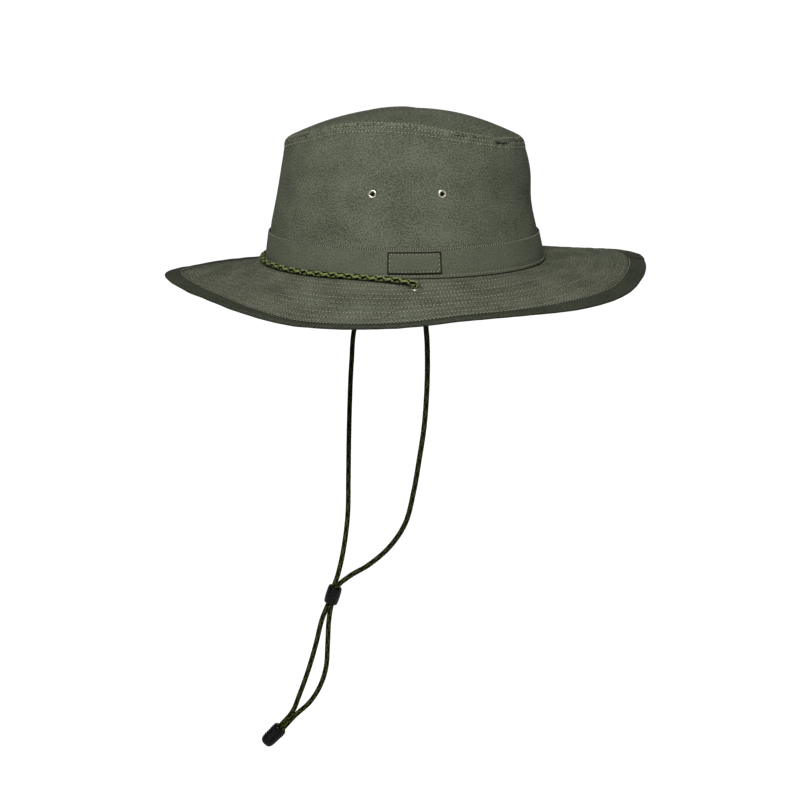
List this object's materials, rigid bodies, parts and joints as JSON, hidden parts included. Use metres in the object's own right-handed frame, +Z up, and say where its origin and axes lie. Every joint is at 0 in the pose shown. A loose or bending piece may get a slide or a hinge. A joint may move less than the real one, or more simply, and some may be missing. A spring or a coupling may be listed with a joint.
{
  "type": "travel hat",
  "caption": "Soft wide-brimmed cloth travel hat with stitched brim, bound rim, vent eyelets and a braided chin cord",
  "frame": {"origin": "the middle of the head opening, level with the foot of the crown, where a head fills the hat", "axes": "+Z up, -Y towards the front of the hat, +X towards the wearer's left, the side with the label"},
  "size_m": [0.3118, 0.3555, 0.4957],
  "materials": {
    "cloth": "olive grey cotton twill, matt, with lighter stitching",
    "binding_cloth": "the same twill, smooth and darker, folded round the rim",
    "eyelet_metal": "pale antique brass, softly polished",
    "braided_cord": "olive braid with black flecks",
    "black_plastic": "moulded black plastic, half gloss"
  },
  "bodies": {
    "root": {"crown_side": "cloth", "crown_tip": "cloth", "hat_band": "cloth", "label_patch": "cloth", "brim": "cloth", "brim_binding": "binding_cloth", "vent_eyelet_left_front": "eyelet_metal", "vent_eyelet_left_back": "eyelet_metal", "vent_eyelet_right_front": "eyelet_metal", "vent_eyelet_right_back": "eyelet_metal", "cord_grommet_left": "eyelet_metal", "cord_grommet_right": "eyelet_metal", "chin_cord": "braided_cord", "cord_slider": "black_plastic", "cord_end": "black_plastic"}
  },
  "joints": []
}
